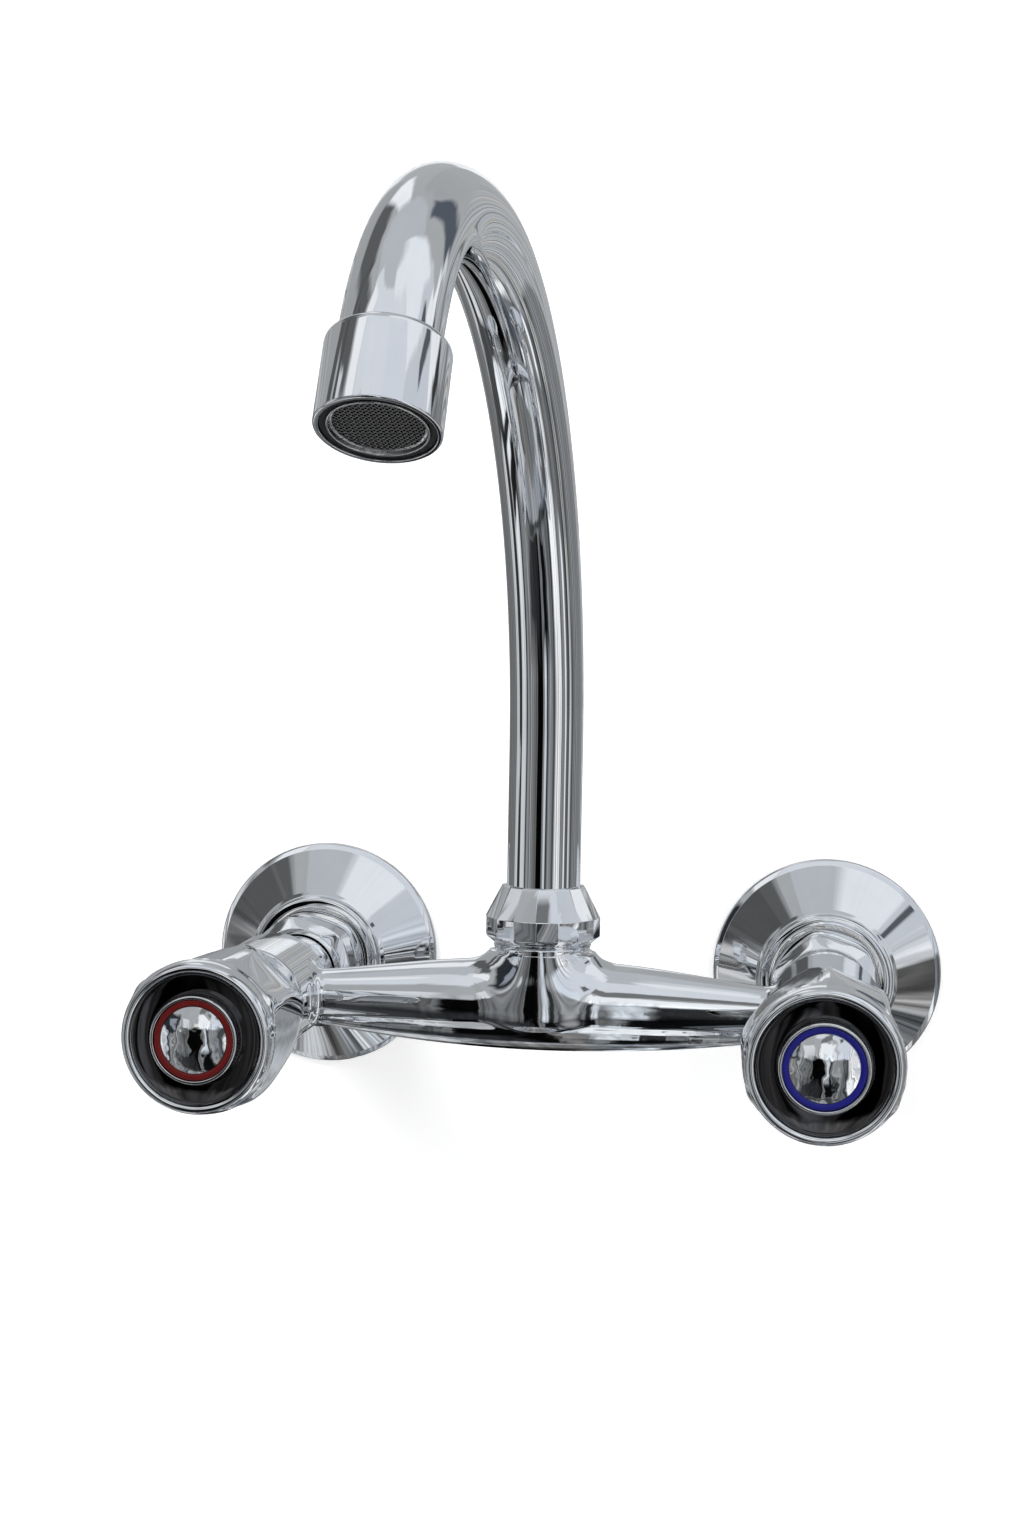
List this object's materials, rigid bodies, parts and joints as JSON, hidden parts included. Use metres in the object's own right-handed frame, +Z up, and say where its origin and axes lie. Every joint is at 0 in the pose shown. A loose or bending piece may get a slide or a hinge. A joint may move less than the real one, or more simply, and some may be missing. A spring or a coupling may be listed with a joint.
{
  "type": "wall-mounted mixer faucet",
  "caption": "Wall-mounted sink mixer with a slim bar body, round wall covers, hot and cold knob handles and a tall swivelling gooseneck spout with an aerator.",
  "frame": {"origin": "midway between the axes of the two wall inlets, on the face of the wall", "axes": "+X to the right as seen from the front (cold side), +Y into the wall along the inlet threads, +Z up"},
  "size_m": [0.2164, 0.2958, 0.2283],
  "materials": {
    "chrome": "polished chrome plate over brass",
    "satin_chrome": "satin plated bezel",
    "brass": "bare machined brass",
    "rubber": "black nitrile rubber",
    "ceramic": "lapped white alumina ceramic",
    "steel": "bright stainless steel",
    "acetal": "natural acetal",
    "hot_red": "dark red enamel",
    "cold_blue": "deep blue enamel"
  },
  "bodies": {
    "root": {"mixer_body": "chrome", "eccentric_union_hot": "brass", "eccentric_union_cold": "brass", "wall_flange_hot": "chrome", "wall_flange_cold": "chrome", "union_nut_hot": "chrome", "union_nut_cold": "chrome", "union_washer_hot": "rubber", "union_washer_cold": "rubber", "tailpiece_hot": "brass", "tailpiece_cold": "brass", "headwork_hot": "brass", "headwork_cold": "brass", "headwork_gasket_hot": "rubber", "headwork_gasket_cold": "rubber", "seat_seal_hot": "rubber", "seat_seal_cold": "rubber", "fixed_disc_hot": "ceramic", "fixed_disc_cold": "ceramic", "spout_nut": "chrome", "spout_slip_ring": "acetal"},
    "spout": {"spout_tail": "brass", "spout_orings": "rubber", "spout_tube": "chrome", "outlet_sleeve": "brass", "aerator_cap": "chrome", "aerator_washer": "rubber", "aerator_gasket": "rubber", "aerator_core": "steel", "aerator_mesh": "steel"},
    "hot_handle": {"moving_disc_hot": "ceramic", "spindle_hot": "brass", "spindle_orings_hot": "rubber", "spindle_clip_hot": "steel", "handle_shell_hot": "chrome", "handle_screw_hot": "steel", "index_bezel_hot": "satin_chrome", "index_ring_hot": "hot_red", "index_dome_hot": "chrome"},
    "cold_handle": {"moving_disc_cold": "ceramic", "spindle_cold": "brass", "spindle_orings_cold": "rubber", "spindle_clip_cold": "steel", "handle_shell_cold": "chrome", "handle_screw_cold": "steel", "index_bezel_cold": "satin_chrome", "index_ring_cold": "cold_blue", "index_dome_cold": "chrome"}
  },
  "joints": [
    {"name": "spout_swivel", "type": "hinge", "parent": "root", "child": "spout", "pos_m": [0, -0.0765, 0.03], "axis": [0, 0, 1], "range_deg": [-102.6, 107.4]},
    {"name": "hot_handle_turn", "type": "hinge", "parent": "root", "child": "hot_handle", "pos_m": [-0.075, -0.12, 0.006], "axis": [0, -1, 0], "range_deg": [0, 90]},
    {"name": "cold_handle_turn", "type": "hinge", "parent": "root", "child": "cold_handle", "pos_m": [0.075, -0.12, 0.006], "axis": [0, 1, 0], "range_deg": [0, 90]}
  ]
}
